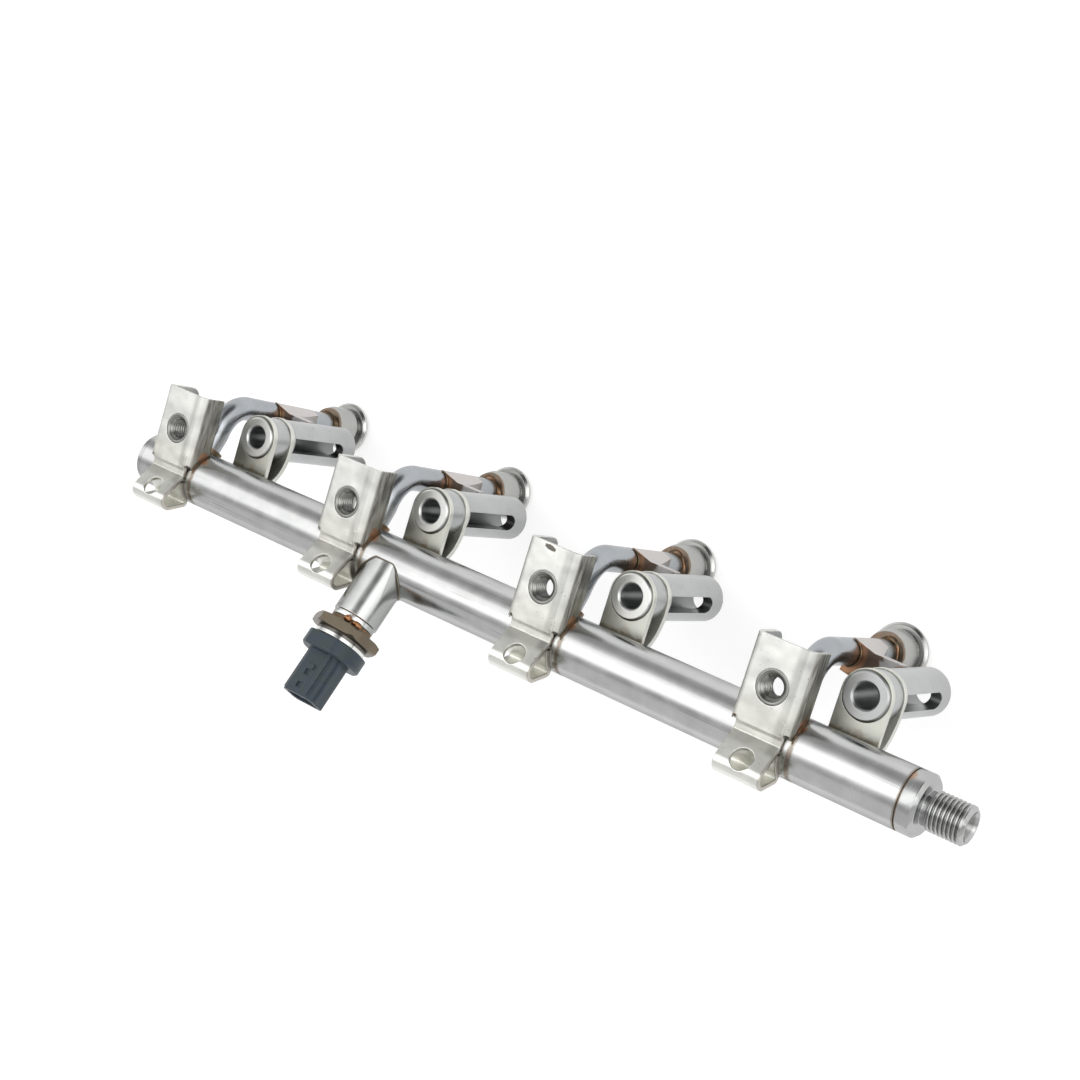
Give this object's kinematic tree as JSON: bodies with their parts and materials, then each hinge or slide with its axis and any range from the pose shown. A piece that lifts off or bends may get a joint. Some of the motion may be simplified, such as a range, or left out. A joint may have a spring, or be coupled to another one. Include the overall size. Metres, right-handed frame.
{
  "type": "fuel rail",
  "caption": "High-pressure rail for direct petrol injection: a thick tube feeds injector cups through bent pipes, held by long bolt bosses, with loom brackets and a pressure sensor.",
  "frame": {"origin": "middle of the four boss feet, on the face of the cylinder head that they stand on", "axes": "+X along the tube towards the inlet fitting, +Z along the bolts towards their heads, +Y from the tube towards the injector cups"},
  "size_m": [0.3822, 0.0952, 0.1348],
  "materials": {
    "tube_steel": "bright drawn tube with lengthwise highlights",
    "boss_steel": "turned, satin",
    "saddle_steel": "stamped sheet with furnace tint",
    "bracket_steel": "stamped sheet, satin, tinted near the joints",
    "nut_steel": "machined insert",
    "pipe_steel": "drawn pipe, satin",
    "link_steel": "milled bridge, stained by brazing metal",
    "cup_steel": "turned, polished",
    "braze_metal": "copper brazing metal, smooth",
    "fitting_steel": "machined, bright",
    "sensor_bronze": "plated hexagon, olive bronze",
    "sensor_silver": "bright crimp ring",
    "connector_plastic": "moulded, blue black",
    "terminal_tin": "tinned blade"
  },
  "bodies": {
    "root": {"mount_boss_1": "boss_steel", "boss_saddle_1": "saddle_steel", "harness_bracket_1": "bracket_steel", "bracket_nut_1": "nut_steel", "feed_pipe_1": "pipe_steel", "pipe_collar_1": "braze_metal", "cup_link_1": "link_steel", "injector_cup_1": "cup_steel", "mount_boss_2": "boss_steel", "boss_saddle_2": "saddle_steel", "harness_bracket_2": "bracket_steel", "bracket_nut_2": "nut_steel", "feed_pipe_2": "pipe_steel", "pipe_collar_2": "braze_metal", "cup_link_2": "link_steel", "injector_cup_2": "cup_steel", "mount_boss_3": "boss_steel", "boss_saddle_3": "saddle_steel", "harness_bracket_3": "bracket_steel", "bracket_nut_3": "nut_steel", "feed_pipe_3": "pipe_steel", "pipe_collar_3": "braze_metal", "cup_link_3": "link_steel", "injector_cup_3": "cup_steel", "mount_boss_4": "boss_steel", "boss_saddle_4": "saddle_steel", "harness_bracket_4": "bracket_steel", "bracket_nut_4": "nut_steel", "feed_pipe_4": "pipe_steel", "pipe_collar_4": "braze_metal", "cup_link_4": "link_steel", "injector_cup_4": "cup_steel", "rail_tube": "tube_steel", "end_plug": "fitting_steel", "inlet_fitting": "fitting_steel", "sensor_port": "fitting_steel", "sensor_body": "sensor_bronze", "sensor_ring": "sensor_silver", "sensor_connector": "connector_plastic", "terminal_1": "terminal_tin", "terminal_2": "terminal_tin", "terminal_3": "terminal_tin"}
  },
  "joints": []
}
